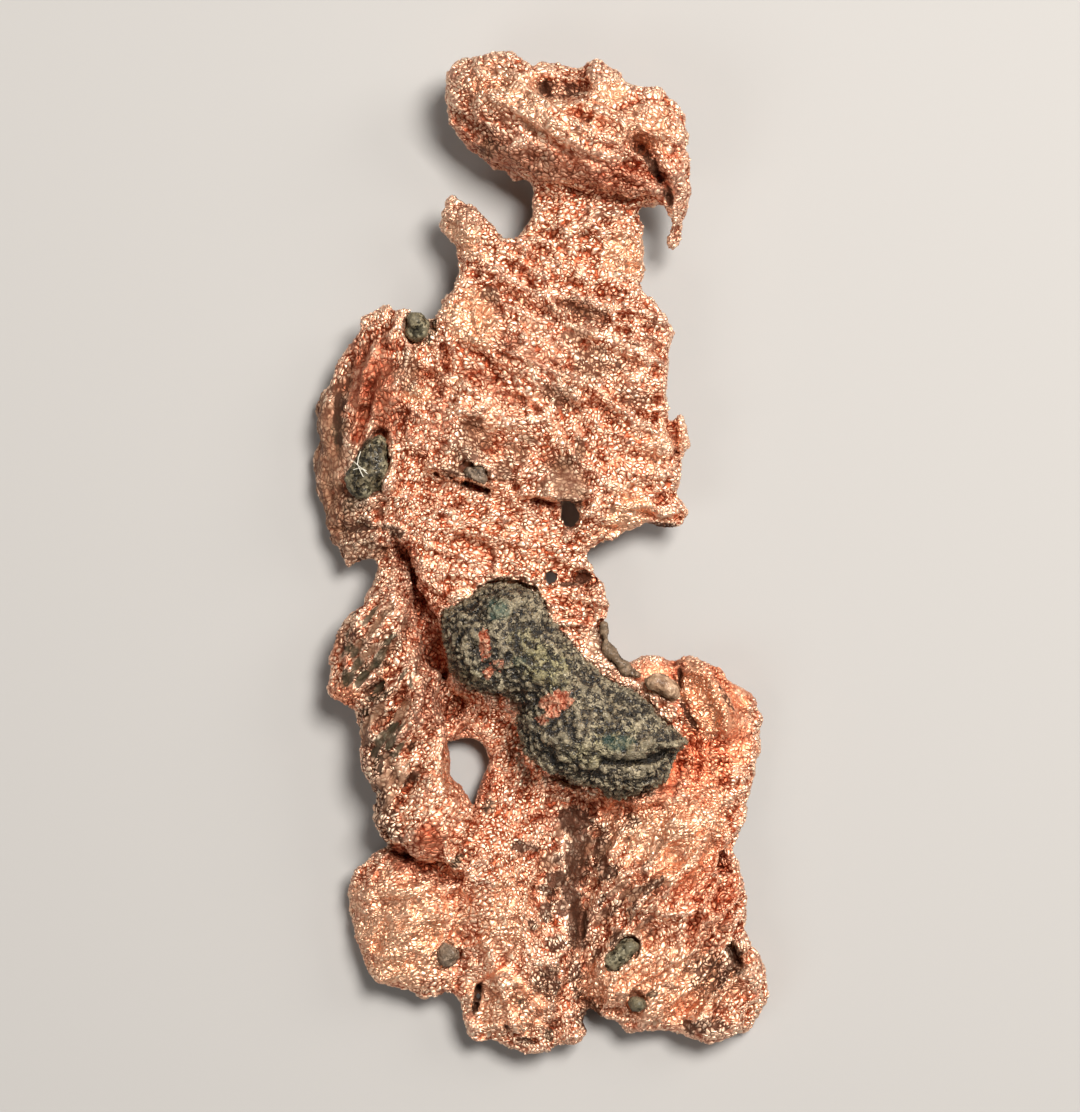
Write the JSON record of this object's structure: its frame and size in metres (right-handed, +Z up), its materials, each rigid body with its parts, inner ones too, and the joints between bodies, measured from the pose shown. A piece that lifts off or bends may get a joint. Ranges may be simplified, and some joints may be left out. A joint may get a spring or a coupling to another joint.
{
  "type": "native copper nugget",
  "caption": "Native copper specimen: a long crumpled sheet of bright hackly copper with a folded head, a hooked tip and dark green-grey rock set in it, lying on its back.",
  "frame": {"origin": "middle of the plan box, on the surface that the nugget lies on", "axes": "+Y towards the folded head, +X to the side of the hooked tip, +Z up from the surface, out of the face that carries the rock lump"},
  "size_m": [0.0462, 0.1008, 0.0131],
  "materials": {
    "copper": "satin",
    "dark_rock": "matte",
    "green_rock": "matte",
    "grey_rock": "matte",
    "brown_quartz": "gloss"
  },
  "bodies": {
    "root": {"copper_nugget": "copper", "matrix_lump": "dark_rock", "matrix_patch_left": "green_rock", "matrix_patch_upper": "green_rock", "matrix_chip": "grey_rock", "matrix_strip_right": "green_rock", "quartz_pebble": "brown_quartz", "matrix_grain_double": "green_rock", "matrix_grain_right": "green_rock", "matrix_grain_left": "grey_rock"}
  },
  "joints": []
}
